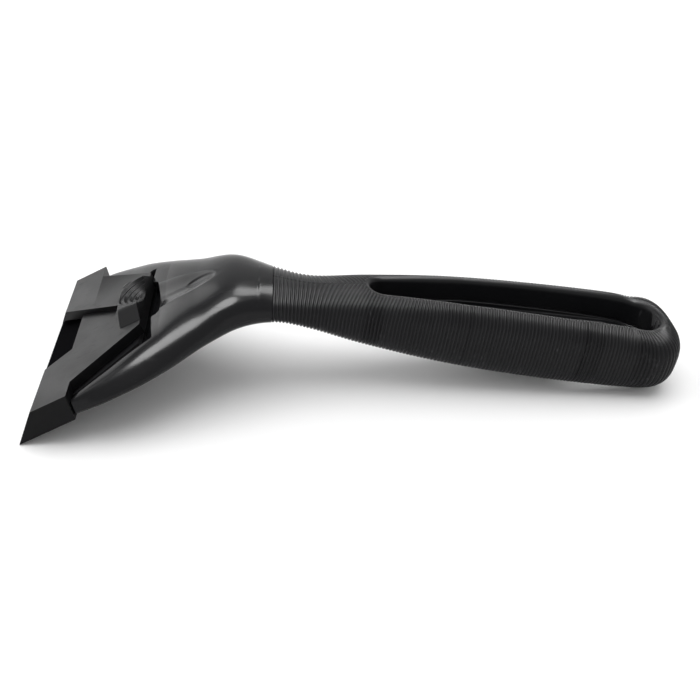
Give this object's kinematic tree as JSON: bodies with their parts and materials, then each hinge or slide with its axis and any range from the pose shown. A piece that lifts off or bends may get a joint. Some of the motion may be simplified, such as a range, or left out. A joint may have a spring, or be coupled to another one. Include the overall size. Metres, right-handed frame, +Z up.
{
  "type": "hand floor scraper",
  "caption": "Bent hand-held floor scraper with a wide clamped razor blade, a push-off wedge blade guard with a thumb cup, and a pocketed handle in a ribbed grip.",
  "frame": {"origin": "on the table plane, under the middle of the overall length, on the tool's plane of symmetry", "axes": "+X from the blade towards the end of the grip, +Y across the blade, +Z up from the table it lies on"},
  "size_m": [0.269, 0.104, 0.0491],
  "materials": {
    "gloss_black_plastic": "moulded, semi-gloss, fine flow marks and scuffs",
    "grip_rubber": "satin, moulded cross ribs",
    "guard_plastic": "satin, fine spark-eroded grain",
    "clamp_coating": "black coated steel, satin",
    "blade_steel": "ground carbon steel",
    "screw_steel": "zinc plated",
    "insert_brass": "turned"
  },
  "bodies": {
    "tool": {"handle_body": "gloss_black_plastic", "grip_sleeve": "grip_rubber", "threaded_insert_left": "insert_brass", "threaded_insert_right": "insert_brass", "scraper_blade": "blade_steel", "clamp_plate": "clamp_coating", "clamp_screw_left": "screw_steel", "clamp_screw_right": "screw_steel"},
    "guard": {"blade_guard": "guard_plastic"}
  },
  "joints": [
    {"name": "guard_slide", "type": "slide", "parent": "tool", "child": "guard", "axis": [-0.8829, 0, -0.4695], "range_m": [0, 0.06]}
  ]
}
